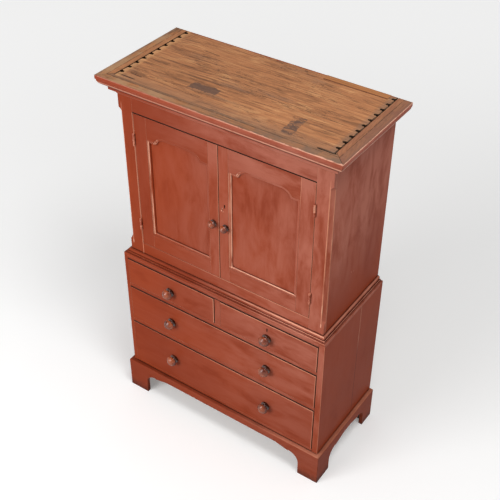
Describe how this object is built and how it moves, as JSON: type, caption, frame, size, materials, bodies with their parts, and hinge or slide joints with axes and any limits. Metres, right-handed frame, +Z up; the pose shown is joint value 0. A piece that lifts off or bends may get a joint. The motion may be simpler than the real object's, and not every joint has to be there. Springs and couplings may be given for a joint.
{
  "type": "housekeepers cupboard",
  "caption": "Painted pine cupboard with arched panel doors over a chest of drawers with turned knobs, a moulded cornice and bracket feet.",
  "frame": {"origin": "on the floor, midway between the sides, and midway between the back and the faces of the drawer knobs", "axes": "+X to the right as seen from the front, +Y to the back, +Z up; doors and drawers face -Y"},
  "size_m": [1.224, 0.579, 1.9035],
  "materials": {
    "painted_pine": "brick red paint on pine, worn pale along the edges",
    "bare_top": "bare aged pine, stained and cracked",
    "inside_pine": "plain sawn pine, unpainted",
    "knob_wood": "dark polished turned wood",
    "iron": "dark iron, dull"
  },
  "bodies": {
    "cupboard": {"upper_side_left": "painted_pine", "upper_side_right": "painted_pine", "upper_floor_board": "inside_pine", "upper_back_boards": "inside_pine", "face_stile_left": "painted_pine", "face_stile_right": "painted_pine", "frieze_rail": "painted_pine", "bottom_face_rail": "painted_pine", "top_board": "bare_top", "top_back_batten": "inside_pine", "cornice_front": "painted_pine", "cornice_returns": "painted_pine", "cupboard_shelves": "inside_pine", "shelf_bearers": "inside_pine", "door_stop": "inside_pine", "lower_side_left": "painted_pine", "lower_side_right": "painted_pine", "lower_top_board": "inside_pine", "lower_bottom_board": "inside_pine", "lower_back_boards": "inside_pine", "waist_moulding": "painted_pine", "drawer_rails": "painted_pine", "drawer_runners": "inside_pine", "short_drawer_divider": "painted_pine", "drawer_stops": "inside_pine", "plinth_front": "painted_pine", "plinth_sides": "painted_pine", "rear_feet": "inside_pine", "foot_blocks": "inside_pine", "hinge_frame_leaves": "iron", "hinge_pins": "iron"},
    "left_door": {"left_door_stiles": "painted_pine", "left_door_rails": "painted_pine", "left_door_panel": "painted_pine", "left_door_panel_moulding": "painted_pine", "left_door_knob": "knob_wood", "left_door_hinge_leaves": "iron"},
    "right_door": {"right_door_stiles": "painted_pine", "right_door_rails": "painted_pine", "right_door_panel": "painted_pine", "right_door_panel_moulding": "painted_pine", "right_door_knob": "knob_wood", "right_door_hinge_leaves": "iron", "door_lock_case": "iron"},
    "door_bolt": {"door_lock_bolt": "iron"},
    "left_short_drawer": {"left_short_drawer_front": "painted_pine", "left_short_drawer_box": "inside_pine", "left_short_drawer_knob": "knob_wood"},
    "right_short_drawer": {"right_short_drawer_front": "painted_pine", "right_short_drawer_box": "inside_pine", "right_short_drawer_knob": "knob_wood", "drawer_lock_case": "iron"},
    "upper_long_drawer": {"upper_long_drawer_front": "painted_pine", "upper_long_drawer_box": "inside_pine", "upper_long_drawer_knobs": "knob_wood"},
    "lower_long_drawer": {"lower_long_drawer_front": "painted_pine", "lower_long_drawer_box": "inside_pine", "lower_long_drawer_knobs": "knob_wood"},
    "drawer_bolt": {"drawer_lock_bolt": "iron"}
  },
  "joints": [
    {"name": "left_door_hinge", "type": "hinge", "parent": "cupboard", "child": "left_door", "pos_m": [-0.47, -0.2198, 1.37375], "axis": [0, 0, -1], "range_deg": [0, 170]},
    {"name": "right_door_hinge", "type": "hinge", "parent": "cupboard", "child": "right_door", "pos_m": [0.47, -0.2198, 1.37375], "axis": [0, 0, 1], "range_deg": [0, 170]},
    {"name": "door_bolt_slide", "type": "slide", "parent": "right_door", "child": "door_bolt", "axis": [-1, 0, 0], "range_m": [0, 0.009]},
    {"name": "drawer_bolt_slide", "type": "slide", "parent": "right_short_drawer", "child": "drawer_bolt", "axis": [0, 0, 1], "range_m": [0, 0.009]},
    {"name": "left_short_drawer_slide", "type": "slide", "parent": "cupboard", "child": "left_short_drawer", "axis": [0, -1, 0], "range_m": [0, 0.4]},
    {"name": "right_short_drawer_slide", "type": "slide", "parent": "cupboard", "child": "right_short_drawer", "axis": [0, -1, 0], "range_m": [0, 0.4]},
    {"name": "upper_long_drawer_slide", "type": "slide", "parent": "cupboard", "child": "upper_long_drawer", "axis": [0, -1, 0], "range_m": [0, 0.4]},
    {"name": "lower_long_drawer_slide", "type": "slide", "parent": "cupboard", "child": "lower_long_drawer", "axis": [0, -1, 0], "range_m": [0, 0.4]}
  ]
}
